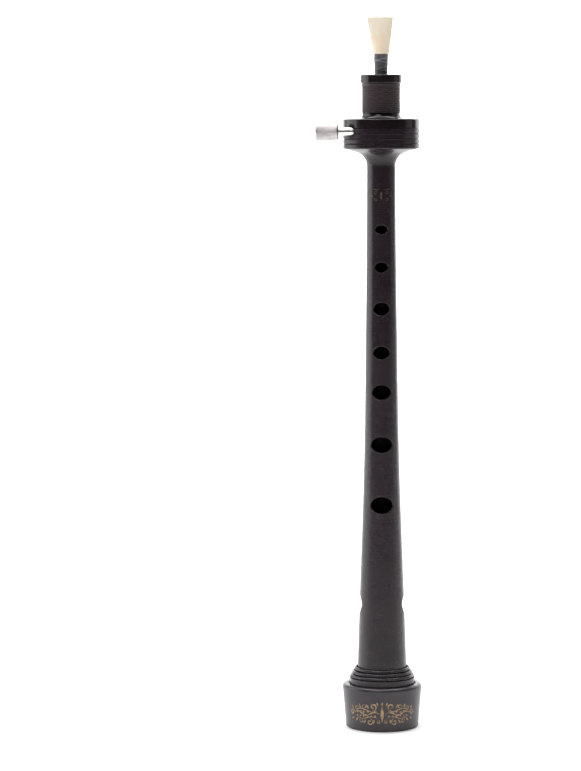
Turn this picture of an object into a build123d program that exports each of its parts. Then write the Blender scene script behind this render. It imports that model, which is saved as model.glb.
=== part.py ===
from build123d import *
from math import acos, atan, cos, pi, radians, sin, tan
import os

# A Highland bagpipe chanter with a geared reed-height adjuster, in millimetres.
# It stands on its sole: +Z is up the chanter, and the origin is the centre of the sole's bottom face.
# The finger holes face -Y, the thumb hole faces +Y, and the tuning knob is at -X.
# Turning the knob turns a helical pinion and a ring gear, whose thread raises or lowers the reed carrier.

# ---------------------------------------------------------------- driving dimensions

# heights up the chanter
COLLAR_BOTTOM = 24.45
SOLE_TOP = 25.45
COLLAR_BAND_TOP = 28.9
HOUSING_BOTTOM = 335.5        # at the rim; the underside rises outwards to it
SHAFT_Z = 345.3               # shaft axis, and the plane where body and cap meet inside the rim
RIM_TOP = 346.85
FLANGE_TOP = 352.4
TENON_TOP = 377.6
REED_TIP = 410.4

# sole, and the spigot and collar of the body that go into it
SOLE_BOTTOM_RADIUS = 20.95
SOLE_TOP_RADIUS = 23.1
SOLE_LIP = 1.5                # thickness of the sole under the end of the body
SOLE_MOUTH_RADIUS = 11.6
SOLE_FOOT_ROUND = 1.2
SOLE_SHOULDER_ROUND = 1.8
SPIGOT_RADIUS = 12.6
GLUE_GAP = 0.05
COLLAR_RADIUS = 18.8
COLLAR_RECESS_RADIUS = 19.5
BEAD_RADIUS = 1.02
BEAD_CENTRES = (17.5, 16.5, 15.2)
COLLAR_TOP = COLLAR_BAND_TOP + 2 * BEAD_RADIUS * len(BEAD_CENTRES)

# outside of the tube from the collar up to the neck: radius, height
TUBE = (
    (14.2, COLLAR_TOP),
    (12.7, 80.6),
    (10.9, 130.5),
    (9.75, 180.0),
    (9.1, 230.0),
    (8.55, 275.0),
)
NECK_RADIUS = 8.3

# gear housing
HOUSING_RADIUS = 22.0
HOUSING_ROUND = 0.7
NECK_FILLET = 8.0             # hollow under the housing
UNDERSIDE_SLOPE = 15.6        # degrees, the housing's underside rises outwards
RIM_INNER_RADIUS = 20.86
RIM_GROOVES = (338.1, 341.0, 344.0)
GROOVE_DEPTH = 0.45
EDGE = 0.3                    # small chamfer on housing edges

# bores, from the bottom up
BELL_RADIUS = 10.6
THROAT_RADIUS = 2.1
THROAT_Z = 315.5
GUIDE_RADIUS = 4.93
GUIDE_TOP = 336.15
RELIEF_RADIUS = 6.1
HUB_BORE_BOTTOM = 338.75
GEAR_RECESS_RADIUS = 9.5

# finger holes on the front: height, width, length along the chanter
FINGER_HOLES = (
    (130.4, 12.2, 9.9),
    (165.4, 11.6, 9.3),
    (195.7, 10.4, 8.6),
    (218.5, 9.0, 7.5),
    (243.7, 9.0, 7.5),
    (267.6, 7.3, 5.9),
    (289.2, 6.7, 5.0),
)
THUMB_HOLE_Z = 305.0
THUMB_HOLE_RADIUS = 3.0
SOUND_HOLE_Z = 71.3
SOUND_HOLE_RADIUS = 5.9
HOLE_ROUND = 0.45

# helical gear pair on crossed axes: both gears are left-hand, and the helix angles add up to 90 degrees
MODULE = 0.70                 # normal module
PRESSURE_ANGLE = 20
PINION_TEETH = 8
RING_TEETH = 18
PINION_HELIX = 47
RING_HELIX = 43
FLANK_THINNING = 0.055        # taken off each flank for backlash
PINION_LENGTH = 12.5
PINION_CHAMFER = 0.6
RING_FACE = 6.0
RING_END_PLAY = 0.1
RING_HUB_RADIUS = 7.0
RING_HUB_BOTTOM = 338.85
RING_BOSS_TOP = 349.85
RING_BOSS_RADII = (7.6, 6.1)
RING_SLEEVE_RADIUS = 6.0      # the part of the ring gear that carries the thread
RUNNING_CLEARANCE = 0.06

# pinion shaft and knob, along X
SHAFT_RADIUS = 2.5
JOURNAL_RADIUS = 2.2
JOURNAL_END = 12.2
CHANNEL_CLEARANCE = 0.08
POCKET_END_PLAY = 0.15
POCKET_CLEARANCE = 0.2
KNOB_RADIUS = 5.0
KNOB_INNER_X = -24.4
KNOB_OUTER_X = -37.8
KNOB_CHAMFER = 0.8
KNOB_END_WALL = 1.4
KNOB_RECESS_RADIUS = 3.4
KNOB_RECESS_DEPTH = 0.8
PRESS_GAP = 0.01              # left between pressed and threaded pieces of one body
SET_SCREW_X = -28.4
SET_SCREW_RADIUS = 1.25
SHAFT_FLAT = 2.1              # distance of the set screw's flat from the shaft axis
SHAFT_RING_X = -12.5
SHAFT_RING_SECTION = 0.5      # radius of the O-ring's section

# thread between the ring gear and the reed carrier
THREAD_PITCH = 1.5
THREAD_ROOT_WIDTH = 1.0
THREAD_CREST_WIDTH = 0.4
THREAD_CLEARANCE = 0.15       # radial
FLANK_CLEARANCE = 0.12        # along the axis, each side

# reed carrier and its key
CARRIER_RADIUS = 4.85
CARRIER_CREST_RADIUS = 5.55
CARRIER_BOTTOM = 320.15
CARRIER_TOP = 375.0
CARRIER_THREAD = (339.3, 351.3)
CARRIER_TRAVEL = 3.0          # up and down from the middle
CARRIER_BORE_RADIUS = 2.0
REED_SEAT_RADIUS = 4.0
REED_SEAT_BOTTOM = 359.15
CARRIER_RING_HEIGHTS = {"upper": 325.05, "lower": 322.05}
CARRIER_RING_SECTION = 0.75
CARRIER_RING_OUTER = 4.9
KEY_RADIUS = 0.75
KEY_OFFSET = 5.05
KEY_BOTTOM = 331.15
KEY_CLEARANCE = 0.12

# cap
CAP_SPIGOT_RADIUS = 20.8
TENON_RADIUS = 11.1
TENON_COLLAR_RADIUS = 11.85
TENON_COLLAR_BOTTOM = 372.6
TENON_COLLAR_ROUND = 0.7
TENON_NECK_RADIUS = 10.75
TENON_COVE = 3.1
CHAMBER_RADIUS = 8.05
CHAMBER_BOTTOM = 352.15
CHAMBER_BEVEL = 0.5
CAP_HOLE_RADIUS = 6.7
CAP_STEP_RADIUS = 8.2
CAP_STEP_TOP = 350.05
COMB_BOTTOM = 356.2
COMB_PITCH = 1.16
COMB_GROOVES = 13
COMB_DEPTH = 0.38

# cap screws, M2.5 socket heads
SCREW_COUNT = 3
SCREW_CIRCLE_RADIUS = 16.4
SCREW_RADIUS = 1.25
SCREW_CLEARANCE = 0.07
SCREW_HEAD_RADIUS = 2.25
SCREW_HEAD_HEIGHT = 2.5
SCREW_HEAD_CLEARANCE = 0.15
SCREW_SOCKET = 1.0            # half the width across the hexagon's flats
SCREW_SOCKET_DEPTH = 1.3
SCREW_SEAT_Z = 349.8
SCREW_END_Z = 338.15
SCREW_HOLE_BOTTOM = 337.35
SMALL_CHAMFER = 0.2

# reed
STAPLE_RADII = (2.2, 2.42)    # outside, at the foot and at the top
STAPLE_WALL = 0.4
STAPLE_TOP = 388.8
HEMP_BOTTOM = 360.35
HEMP_TOP = 369.75
HEMP_RADIUS = 3.94
HEMP_END_RADIUS = 3.4
BINDING_BOTTOM = 372.0
BLADE_BOTTOM = 376.9
BLADE_SHOULDER = 389.4        # top of the binding, where the blades widen
BINDING_RADII = (2.95, 3.6, 4.2)   # at its bottom, at the blades' bottom and at its top
REED_GAP = 0.03               # between the pieces of the reed
REED_LEAN = 1.45              # degrees, the blades lean to -X above the binding
# sections of one blade: height, outer half-width, outer depth, inner half-width, inner depth
BLADE_SECTIONS = (
    (BLADE_BOTTOM, 3.05, 3.05, 2.5, 2.5),
    (BLADE_SHOULDER, 3.6, 3.6, 2.6, 2.6),
    (389.9, 4.7, 3.3, 3.3, 2.2),
    (REED_TIP, 7.6, 1.25, 6.9, 0.45),
)

# ---------------------------------------------------------------- derived values


def pitch_radius(teeth, helix_angle):
    """Radius of the pitch cylinder of a helical gear."""
    return MODULE * teeth / (2 * cos(radians(helix_angle)))


PINION_PITCH_RADIUS = pitch_radius(PINION_TEETH, PINION_HELIX)
RING_PITCH_RADIUS = pitch_radius(RING_TEETH, RING_HELIX)
GEAR_CENTRES = PINION_PITCH_RADIUS + RING_PITCH_RADIUS
PINION_TIP_RADIUS = PINION_PITCH_RADIUS + MODULE
POCKET_END = PINION_LENGTH / 2 + POCKET_END_PLAY
RING_BOTTOM = SHAFT_Z - RING_FACE / 2
RING_TOP = SHAFT_Z + RING_FACE / 2
HUB_BORE_RADIUS = RING_HUB_RADIUS + RUNNING_CLEARANCE
SHAFT_CHANNEL_RADIUS = SHAFT_RADIUS + CHANNEL_CLEARANCE

# the neck's hollow runs tangent into the tube below it and into the sloping underside of the housing
NECK_ARC_END_RADIUS = NECK_RADIUS + NECK_FILLET * (1 - sin(radians(UNDERSIDE_SLOPE)))
NECK_ARC_TOP = HOUSING_BOTTOM - (HOUSING_RADIUS - NECK_ARC_END_RADIUS) * tan(radians(UNDERSIDE_SLOPE))
NECK_Z = NECK_ARC_TOP - NECK_FILLET * cos(radians(UNDERSIDE_SLOPE))
NECK_CENTRE = (NECK_RADIUS + NECK_FILLET, NECK_Z)

# plane with the shaft's radius upwards, the shaft's axis, and a frame with the shaft along its own Z
SHAFT_PROFILE = Plane(origin=(0, -GEAR_CENTRES, SHAFT_Z), x_dir=(1, 0, 0), z_dir=(0, -1, 0))
SHAFT_AXIS = Axis((0, -GEAR_CENTRES, SHAFT_Z), (1, 0, 0))
SHAFT_FRAME = Plane(origin=(0, -GEAR_CENTRES, SHAFT_Z), x_dir=(0, 0, -1), z_dir=(1, 0, 0))
SET_SCREW_FRAME = Plane(origin=(SET_SCREW_X, -GEAR_CENTRES, SHAFT_Z), x_dir=(1, 0, 0), z_dir=(0, 1, 0))

# round cuts along the shaft axis: radius, from x, to x
SHAFT_CUTS = (
    (SHAFT_CHANNEL_RADIUS, -HOUSING_RADIUS, -POCKET_END),
    (PINION_TIP_RADIUS + POCKET_CLEARANCE, -POCKET_END, POCKET_END),
    (JOURNAL_RADIUS + CHANNEL_CLEARANCE, POCKET_END, JOURNAL_END + POCKET_END_PLAY),
)

os.makedirs("parts", exist_ok=True)


def save(part, name):
    """Label a finished piece and write it as a STEP file of the same name."""
    part.label = name
    export_step(part, f"parts/{name}.step")


def corner(sketch, x, y):
    """The sketch's vertex nearest to a point."""
    return sketch.vertices().sort_by_distance((x, y))[0]


# ---------------------------------------------------------------- helical gears and threads


def flank(teeth, helix_angle):
    """One involute flank as (radius, half-angle of the tooth in radians), and the radius of the root."""
    pitch = pitch_radius(teeth, helix_angle)
    transverse = atan(tan(radians(PRESSURE_ANGLE)) / cos(radians(helix_angle)))
    base = pitch * cos(transverse)
    root = pitch - 1.25 * MODULE
    tip = pitch + MODULE
    low = max(base, root + 0.01)
    thinning = FLANK_THINNING / cos(radians(helix_angle)) / pitch
    half = pi / (2 * teeth) - thinning + tan(transverse) - transverse
    points = []
    for step in range(4):
        radius = low + (tip - low) * step / 3
        roll = acos(min(1, base / radius))
        points.append((radius, half - tan(roll) + roll))
    return points, root


def helical_gear(teeth, helix_angle, length, tooth_at):
    """Left-hand gear along Z, centred on the origin, with a tooth at the angle tooth_at in its middle plane."""
    points, root = flank(teeth, helix_angle)
    lead = 2 * pi * pitch_radius(teeth, helix_angle) / tan(radians(helix_angle))
    start = radians(tooth_at) + pi * length / lead
    tooth_angle = 2 * pi / teeth
    tip_radius = points[-1][0]
    low_angle = points[0][1]

    def polar(radius, angle):
        return (radius * cos(angle), radius * sin(angle))

    with BuildLine(mode=Mode.PRIVATE) as path:
        Helix(lead, length, tip_radius, center=(0, 0, -length / 2), lefthand=True)
    with BuildPart() as gear:
        with BuildSketch(Plane.XY.offset(-length / 2)):
            with BuildLine():
                for tooth in range(teeth):
                    middle = start + tooth * tooth_angle
                    rising = [polar(radius, middle - angle) for radius, angle in points]
                    falling = [polar(radius, middle + angle) for radius, angle in reversed(points)]
                    Line(polar(root, middle - low_angle), rising[0])
                    Spline(*rising)
                    Line(rising[-1], falling[0])
                    Spline(*falling)
                    Polyline(
                        falling[-1],
                        polar(root, middle + low_angle),
                        polar(root, middle + tooth_angle - low_angle),
                    )
            make_face()
        sweep(path=path.line, is_frenet=True)
    return gear.part


def threaded_rod(core_radius, crest_radius, root_width, crest_width, thread, core):
    """Right-hand single-start thread on a rod along Z; thread and core are (bottom, top) heights."""
    bottom, top = thread
    depth = crest_radius - core_radius
    overlap = 0.3
    buried = overlap * (root_width - crest_width) / 2 / depth
    start = bottom - THREAD_PITCH
    with BuildLine(mode=Mode.PRIVATE) as path:
        Helix(THREAD_PITCH, top - bottom + 2 * THREAD_PITCH, core_radius, center=(0, 0, start))
    with BuildPart() as ridge:
        with BuildSketch(Plane(origin=(core_radius, 0, start), x_dir=(1, 0, 0), z_dir=(0, -1, 0))):
            with BuildLine():
                Polyline(
                    (-overlap, -root_width / 2 - buried),
                    (depth, -crest_width / 2),
                    (depth, crest_width / 2),
                    (-overlap, root_width / 2 + buried),
                    close=True,
                )
            make_face()
        sweep(path=path.line, is_frenet=True)
        # the seams of the round pieces are turned away from each other and from the thread's start
        with BuildSketch(Plane.XY.offset(bottom).rotated((0, 0, 73))):
            Circle(2 * crest_radius)
        extrude(amount=top - bottom, mode=Mode.INTERSECT)
    with BuildPart() as rod:
        with BuildSketch(Plane.XY.offset(core[0]).rotated((0, 0, 37))):
            Circle(core_radius)
        extrude(amount=core[1] - core[0])
        add(ridge.part)
    return rod.part


# ---------------------------------------------------------------- chanter body

# the space of the pinion and its shaft, cut from both the body and the cap
with BuildPart() as shaft_seats:
    for radius, low, high in SHAFT_CUTS:
        with BuildSketch(Plane.YZ.offset(low)):
            with Locations((-GEAR_CENTRES, SHAFT_Z)):
                Circle(radius)
        extrude(amount=high - low)

with BuildPart() as chanter_body:
    with BuildSketch(Plane.XZ) as profile:
        with BuildLine():
            Polyline(
                (BELL_RADIUS, SOLE_LIP),
                (SPIGOT_RADIUS, SOLE_LIP),
                (SPIGOT_RADIUS, COLLAR_BOTTOM),
                (COLLAR_RADIUS, COLLAR_BOTTOM),
                (COLLAR_RADIUS, COLLAR_BAND_TOP),
                (BEAD_CENTRES[0], COLLAR_BAND_TOP),
            )
            next_radii = BEAD_CENTRES[1:] + (TUBE[0][0],)
            for index, (radius, next_radius) in enumerate(zip(BEAD_CENTRES, next_radii)):
                low = COLLAR_BAND_TOP + 2 * BEAD_RADIUS * index
                high = low + 2 * BEAD_RADIUS
                ThreePointArc((radius, low), (radius + BEAD_RADIUS, low + BEAD_RADIUS), (radius, high))
                Line((radius, high), (next_radius, high))
            Spline(*TUBE, (NECK_RADIUS, NECK_Z), tangents=((-0.037, 1), (0, 1)))
            neck_arc = CenterArc(NECK_CENTRE, NECK_FILLET, 180, UNDERSIDE_SLOPE - 90)
            wall_start = (HOUSING_RADIUS, HOUSING_BOTTOM)
            Line(neck_arc @ 1, wall_start)
            for height in RIM_GROOVES:
                wall_end = (HOUSING_RADIUS, height + GROOVE_DEPTH)
                Polyline(
                    wall_start,
                    (HOUSING_RADIUS, height - GROOVE_DEPTH),
                    (HOUSING_RADIUS - GROOVE_DEPTH, height),
                    wall_end,
                )
                wall_start = wall_end
            Polyline(
                wall_start,
                (HOUSING_RADIUS, RIM_TOP - EDGE),
                (HOUSING_RADIUS - EDGE, RIM_TOP),
                (RIM_INNER_RADIUS + EDGE, RIM_TOP),
                (RIM_INNER_RADIUS, RIM_TOP - EDGE),
                (RIM_INNER_RADIUS, SHAFT_Z),
                (GEAR_RECESS_RADIUS, SHAFT_Z),
                (GEAR_RECESS_RADIUS, RING_BOTTOM - RING_END_PLAY),
                (HUB_BORE_RADIUS, RING_BOTTOM - RING_END_PLAY),
                (HUB_BORE_RADIUS, HUB_BORE_BOTTOM),
                (RELIEF_RADIUS, HUB_BORE_BOTTOM),
                (RELIEF_RADIUS, GUIDE_TOP),
                (GUIDE_RADIUS, GUIDE_TOP),
                (GUIDE_RADIUS, THROAT_Z),
                (THROAT_RADIUS, THROAT_Z),
                (BELL_RADIUS, SOLE_LIP),
            )
        make_face()
        fillet(corner(profile, HOUSING_RADIUS, HOUSING_BOTTOM), HOUSING_ROUND)
    revolve(axis=Axis.Z)

    # oval finger holes, from the bore to the front
    with BuildSketch(Plane.XZ):
        for height, width, length in FINGER_HOLES:
            with Locations((0, height)):
                Ellipse(width / 2, length / 2)
    extrude(amount=COLLAR_RADIUS, mode=Mode.SUBTRACT)
    fillet(chanter_body.edges(Select.LAST).sort_by(Axis.Y)[: len(FINGER_HOLES)], HOLE_ROUND)

    # thumb hole, on the back
    with BuildSketch(Plane.XZ):
        with Locations((0, THUMB_HOLE_Z)):
            Circle(THUMB_HOLE_RADIUS)
    extrude(amount=-COLLAR_RADIUS, mode=Mode.SUBTRACT)
    fillet(chanter_body.edges(Select.LAST).sort_by(Axis.Y)[-1], HOLE_ROUND)

    # sound holes, left and right
    with BuildSketch(Plane.YZ):
        with Locations((0, SOUND_HOLE_Z)):
            Circle(SOUND_HOLE_RADIUS)
    extrude(amount=COLLAR_RADIUS, both=True, mode=Mode.SUBTRACT)

    # seats of the pinion and its shaft, with a slot in the rim where the shaft comes out
    add(shaft_seats.part, mode=Mode.SUBTRACT)
    with BuildSketch(Plane.YZ.offset(-HOUSING_RADIUS)):
        with Locations((-GEAR_CENTRES, SHAFT_Z)):
            Rectangle(2 * SHAFT_CHANNEL_RADIUS, HOUSING_RADIUS, align=(Align.CENTER, Align.MIN))
    extrude(amount=HOUSING_RADIUS - POCKET_END, mode=Mode.SUBTRACT)

    # holes for the cap screws and for the key
    with Locations(Plane.XY.offset(SHAFT_Z)):
        with PolarLocations(SCREW_CIRCLE_RADIUS, SCREW_COUNT, start_angle=90):
            Hole(SCREW_RADIUS + SCREW_CLEARANCE, depth=SHAFT_Z - SCREW_HOLE_BOTTOM)
    with Locations((0, KEY_OFFSET, GUIDE_TOP)):
        Hole(KEY_RADIUS, depth=GUIDE_TOP - KEY_BOTTOM)
save(chanter_body.part, "chanter_body")

# ---------------------------------------------------------------- sole

with BuildPart() as sole:
    with BuildSketch(Plane.XZ) as profile:
        with BuildLine():
            Polyline(
                (SOLE_MOUTH_RADIUS, SOLE_LIP),
                (SOLE_MOUTH_RADIUS, 0),
                (SOLE_BOTTOM_RADIUS, 0),
                (SOLE_TOP_RADIUS, SOLE_TOP),
                (COLLAR_RECESS_RADIUS, SOLE_TOP),
                (COLLAR_RECESS_RADIUS, COLLAR_BOTTOM),
                (SPIGOT_RADIUS + GLUE_GAP, COLLAR_BOTTOM),
                (SPIGOT_RADIUS + GLUE_GAP, SOLE_LIP),
                close=True,
            )
        make_face()
        fillet(corner(profile, SOLE_BOTTOM_RADIUS, 0), SOLE_FOOT_ROUND)
        fillet(corner(profile, SOLE_TOP_RADIUS, SOLE_TOP), SOLE_SHOULDER_ROUND)
        chamfer(corner(profile, COLLAR_RECESS_RADIUS, SOLE_TOP), EDGE)
        chamfer(corner(profile, SOLE_MOUTH_RADIUS, 0), EDGE)
    revolve(axis=Axis.Z)
save(sole.part, "sole")

# ---------------------------------------------------------------- carrier key

with BuildPart() as carrier_key:
    with Locations((0, KEY_OFFSET, KEY_BOTTOM)):
        Cylinder(
            KEY_RADIUS - PRESS_GAP,
            GUIDE_TOP - KEY_BOTTOM,
            align=(Align.CENTER, Align.CENTER, Align.MIN),
        )
    chamfer(carrier_key.edges().sort_by(Axis.Z)[-1], SMALL_CHAMFER)
save(carrier_key.part, "carrier_key")

# ---------------------------------------------------------------- gear cap

with BuildPart() as gear_cap:
    with BuildSketch(Plane.XZ) as profile:
        with BuildLine():
            Polyline(
                (GEAR_RECESS_RADIUS, SHAFT_Z),
                (CAP_SPIGOT_RADIUS, SHAFT_Z),
                (CAP_SPIGOT_RADIUS, RIM_TOP),
                (HOUSING_RADIUS - EDGE, RIM_TOP),
                (HOUSING_RADIUS, RIM_TOP + EDGE),
                (HOUSING_RADIUS, FLANGE_TOP),
                (TENON_NECK_RADIUS + TENON_COVE, FLANGE_TOP),
            )
            cove_top = FLANGE_TOP + TENON_COVE
            CenterArc((TENON_NECK_RADIUS + TENON_COVE, cove_top), TENON_COVE, 270, -90)
            Polyline(
                (TENON_NECK_RADIUS, cove_top),
                (TENON_RADIUS, cove_top + TENON_RADIUS - TENON_NECK_RADIUS),
                (TENON_RADIUS, COMB_BOTTOM),
            )
            for groove in range(COMB_GROOVES):
                low = COMB_BOTTOM + groove * COMB_PITCH
                Polyline(
                    (TENON_RADIUS, low),
                    (TENON_RADIUS - COMB_DEPTH, low + COMB_DEPTH),
                    (TENON_RADIUS - COMB_DEPTH, low + COMB_PITCH - 2 * COMB_DEPTH),
                    (TENON_RADIUS, low + COMB_PITCH - COMB_DEPTH),
                    (TENON_RADIUS, low + COMB_PITCH),
                )
            Polyline(
                (TENON_RADIUS, COMB_BOTTOM + COMB_GROOVES * COMB_PITCH),
                (TENON_RADIUS, TENON_COLLAR_BOTTOM),
                (TENON_COLLAR_RADIUS, TENON_COLLAR_BOTTOM),
                (TENON_COLLAR_RADIUS, TENON_TOP),
                (CHAMBER_RADIUS, TENON_TOP),
                (CHAMBER_RADIUS, CHAMBER_BOTTOM),
                (CAP_HOLE_RADIUS, CHAMBER_BOTTOM),
                (CAP_HOLE_RADIUS, CAP_STEP_TOP),
                (CAP_STEP_RADIUS, CAP_STEP_TOP),
                (CAP_STEP_RADIUS, RING_TOP + RING_END_PLAY),
                (GEAR_RECESS_RADIUS, RING_TOP + RING_END_PLAY),
                (GEAR_RECESS_RADIUS, SHAFT_Z),
            )
        make_face()
        fillet(corner(profile, HOUSING_RADIUS, FLANGE_TOP), HOUSING_ROUND)
        fillet(corner(profile, TENON_COLLAR_RADIUS, TENON_COLLAR_BOTTOM), TENON_COLLAR_ROUND)
        fillet(corner(profile, TENON_COLLAR_RADIUS, TENON_TOP), TENON_COLLAR_ROUND)
        chamfer(corner(profile, CHAMBER_RADIUS, TENON_TOP), CHAMBER_BEVEL)
    revolve(axis=Axis.Z)
    add(shaft_seats.part, mode=Mode.SUBTRACT)
    with Locations(Plane.XY.offset(FLANGE_TOP)):
        with PolarLocations(SCREW_CIRCLE_RADIUS, SCREW_COUNT, start_angle=90):
            CounterBoreHole(
                SCREW_RADIUS + SCREW_CLEARANCE,
                SCREW_HEAD_RADIUS + SCREW_HEAD_CLEARANCE,
                FLANGE_TOP - SCREW_SEAT_Z,
            )
save(gear_cap.part, "gear_cap")

# ---------------------------------------------------------------- cap screws

with BuildPart() as cap_screws:
    with BuildSketch(Plane.XY.offset(SCREW_SEAT_Z)):
        with PolarLocations(SCREW_CIRCLE_RADIUS, SCREW_COUNT, start_angle=90):
            Circle(SCREW_HEAD_RADIUS)
    extrude(amount=SCREW_HEAD_HEIGHT)
    chamfer(cap_screws.edges().group_by(Axis.Z)[-1], SMALL_CHAMFER)
    with BuildSketch(Plane.XY.offset(SCREW_SEAT_Z)):
        with PolarLocations(SCREW_CIRCLE_RADIUS, SCREW_COUNT, start_angle=90):
            Circle(SCREW_RADIUS)
    extrude(amount=SCREW_END_Z - SCREW_SEAT_Z)
    chamfer(cap_screws.edges().group_by(Axis.Z)[0], SMALL_CHAMFER)
    with BuildSketch(Plane.XY.offset(SCREW_SEAT_Z + SCREW_HEAD_HEIGHT)):
        with PolarLocations(SCREW_CIRCLE_RADIUS, SCREW_COUNT, start_angle=90):
            RegularPolygon(SCREW_SOCKET, 6, major_radius=False)
    extrude(amount=-SCREW_SOCKET_DEPTH, mode=Mode.SUBTRACT)
save(cap_screws.part, "cap_screws")

# ---------------------------------------------------------------- knob and shaft

with BuildPart() as tuning_knob:
    with BuildSketch(SHAFT_PROFILE) as profile:
        with BuildLine():
            Polyline(
                (KNOB_OUTER_X, 0),
                (KNOB_OUTER_X, KNOB_RADIUS),
                (KNOB_INNER_X, KNOB_RADIUS),
                (KNOB_INNER_X, KNOB_RECESS_RADIUS),
                (KNOB_INNER_X - KNOB_RECESS_DEPTH, KNOB_RECESS_RADIUS),
                (KNOB_INNER_X - KNOB_RECESS_DEPTH, SHAFT_RADIUS + PRESS_GAP),
                (KNOB_OUTER_X + KNOB_END_WALL, SHAFT_RADIUS + PRESS_GAP),
                (KNOB_OUTER_X + KNOB_END_WALL, 0),
                close=True,
            )
        make_face()
        chamfer(corner(profile, KNOB_OUTER_X, KNOB_RADIUS), KNOB_CHAMFER)
        chamfer(corner(profile, KNOB_INNER_X, KNOB_RADIUS), KNOB_CHAMFER)
    revolve(axis=SHAFT_AXIS)
    with BuildSketch(SET_SCREW_FRAME):
        Circle(SET_SCREW_RADIUS)
    extrude(amount=2 * KNOB_RADIUS, mode=Mode.SUBTRACT)
save(tuning_knob.part, "tuning_knob")

with BuildPart() as knob_set_screw:
    with BuildSketch(SET_SCREW_FRAME.offset(SHAFT_FLAT)):
        Circle(SET_SCREW_RADIUS - PRESS_GAP)
    extrude(amount=KNOB_RADIUS - SHAFT_FLAT - EDGE)
    chamfer(knob_set_screw.edges().sort_by(Axis.Y)[-1], SMALL_CHAMFER)
    with BuildSketch(SET_SCREW_FRAME.offset(KNOB_RADIUS - EDGE)):
        RegularPolygon(SET_SCREW_RADIUS / 2, 6, major_radius=False)
    extrude(amount=-SET_SCREW_RADIUS, mode=Mode.SUBTRACT)
save(knob_set_screw.part, "knob_set_screw")

with BuildPart() as pinion_shaft:
    with BuildSketch(SHAFT_PROFILE) as profile:
        ring_groove = SHAFT_RADIUS - 2 * SHAFT_RING_SECTION
        with BuildLine():
            Polyline(
                (KNOB_OUTER_X + KNOB_END_WALL, 0),
                (KNOB_OUTER_X + KNOB_END_WALL, SHAFT_RADIUS),
                (SHAFT_RING_X - 1.2 * SHAFT_RING_SECTION, SHAFT_RADIUS),
                (SHAFT_RING_X - 1.2 * SHAFT_RING_SECTION, ring_groove),
                (SHAFT_RING_X + 1.2 * SHAFT_RING_SECTION, ring_groove),
                (SHAFT_RING_X + 1.2 * SHAFT_RING_SECTION, SHAFT_RADIUS),
                (-PINION_LENGTH / 2, SHAFT_RADIUS),
                (-PINION_LENGTH / 2, JOURNAL_RADIUS),
                (JOURNAL_END, JOURNAL_RADIUS),
                (JOURNAL_END, 0),
                close=True,
            )
        make_face()
        chamfer(corner(profile, JOURNAL_END, JOURNAL_RADIUS), EDGE)
        chamfer(corner(profile, KNOB_OUTER_X + KNOB_END_WALL, SHAFT_RADIUS), EDGE)
    revolve(axis=SHAFT_AXIS)
    with BuildSketch(SET_SCREW_FRAME.offset(SHAFT_FLAT)):
        Rectangle(4 * SET_SCREW_RADIUS, 2 * SHAFT_RADIUS)
    extrude(amount=SHAFT_RADIUS, mode=Mode.SUBTRACT)
save(pinion_shaft.part, "pinion_shaft")

with BuildPart() as shaft_o_ring:
    with Locations(SHAFT_FRAME.offset(SHAFT_RING_X)):
        Torus(SHAFT_RADIUS + CHANNEL_CLEARANCE / 2 - SHAFT_RING_SECTION, SHAFT_RING_SECTION)
save(shaft_o_ring.part, "shaft_o_ring")

# ---------------------------------------------------------------- gears

with BuildPart() as helical_pinion:
    with Locations(SHAFT_FRAME):
        add(helical_gear(PINION_TEETH, PINION_HELIX, PINION_LENGTH, 90))
    with BuildSketch(SHAFT_PROFILE) as profile:
        with BuildLine():
            Polyline(
                (-PINION_LENGTH / 2, JOURNAL_RADIUS + PRESS_GAP),
                (-PINION_LENGTH / 2, PINION_TIP_RADIUS - PINION_CHAMFER),
                (0, PINION_TIP_RADIUS - PINION_CHAMFER + PINION_LENGTH / 2),
                (PINION_LENGTH / 2, PINION_TIP_RADIUS - PINION_CHAMFER),
                (PINION_LENGTH / 2, JOURNAL_RADIUS + PRESS_GAP),
                close=True,
            )
        make_face()
    revolve(axis=SHAFT_AXIS, mode=Mode.INTERSECT)
save(helical_pinion.part, "helical_pinion")

# the ring gear's threaded sleeve is cut by a tap: the carrier's thread, one turn longer and with clearance
groove_slope = (THREAD_ROOT_WIDTH - THREAD_CREST_WIDTH) / (CARRIER_CREST_RADIUS - CARRIER_RADIUS)
groove_widening = 2 * FLANK_CLEARANCE - groove_slope * THREAD_CLEARANCE
tap_span = (CARRIER_THREAD[0] - THREAD_PITCH, CARRIER_THREAD[1])

with BuildPart() as ring_sleeve:
    with BuildSketch(Plane.XY.offset(RING_HUB_BOTTOM).rotated((0, 0, 21))):
        Circle(RING_SLEEVE_RADIUS)
    extrude(amount=RING_BOSS_TOP - RING_HUB_BOTTOM)
    add(
        threaded_rod(
            CARRIER_RADIUS + THREAD_CLEARANCE,
            CARRIER_CREST_RADIUS + THREAD_CLEARANCE,
            THREAD_ROOT_WIDTH + groove_widening,
            THREAD_CREST_WIDTH + groove_widening,
            tap_span,
            tap_span,
        ),
        mode=Mode.SUBTRACT,
    )

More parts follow.
